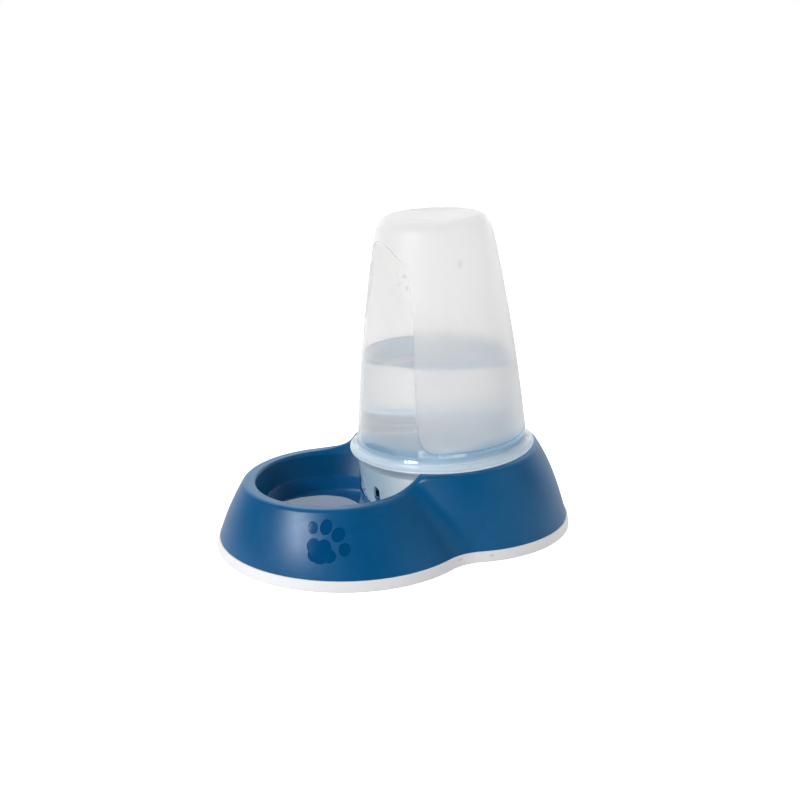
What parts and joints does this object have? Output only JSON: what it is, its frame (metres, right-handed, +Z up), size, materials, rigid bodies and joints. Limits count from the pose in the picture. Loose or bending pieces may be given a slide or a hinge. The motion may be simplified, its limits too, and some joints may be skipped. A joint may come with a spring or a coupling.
{
  "type": "pet water dispenser",
  "caption": "Gravity pet water dispenser: blue base with a drinking bowl and paw marks, white non-slip rim, and a lift-off translucent bell reservoir with a screw cap and valve.",
  "frame": {"origin": "on the floor, at the centre of the base's footprint", "axes": "+Z up, -Y towards the bowl's front, +Y towards the reservoir, X across; the mirror plane is X = 0"},
  "size_m": [0.1944, 0.2799, 0.2429],
  "materials": {
    "blue_plastic": "satin moulded polypropylene with a fine texture; polished paw marks",
    "white_rubber": "smooth soft white thermoplastic rubber",
    "clear_plastic": "translucent natural polypropylene, frosted except for a clear window",
    "white_plastic": "smooth white polypropylene",
    "seal_rubber": "grey silicone",
    "spring_steel": "stainless spring wire",
    "water": "clear drinking water, shown in the bowl and the reservoir"
  },
  "bodies": {
    "base": {"base_housing": "blue_plastic", "anti_slip_rim": "white_rubber"},
    "reservoir": {"reservoir_bell": "clear_plastic", "reservoir_foot": "clear_plastic"},
    "cap": {"filler_cap": "white_plastic", "cap_gasket": "seal_rubber", "valve_cage": "white_plastic", "valve_spring": "spring_steel"},
    "valve": {"valve_stem": "white_plastic", "valve_seal": "seal_rubber"}
  },
  "joints": [
    {"name": "reservoir_lift", "type": "slide", "parent": "base", "child": "reservoir", "axis": [0, -0.0506, 0.9987], "range_m": [0, 0.07]},
    {"name": "cap_turn", "type": "hinge", "parent": "reservoir", "child": "cap", "pos_m": [0, 0.038, 0.0652], "axis": [0, -0.0506, 0.9987], "range_deg": [0, 450]},
    {"name": "valve_travel", "type": "slide", "parent": "cap", "child": "valve", "axis": [0, -0.0506, 0.9987], "range_m": [-0.0039, 0], "deforming": ["valve_spring"]}
  ],
  "couplings": [
    {"joint": "valve_travel", "follows": "reservoir_lift", "ratio": -0.0557}
  ]
}
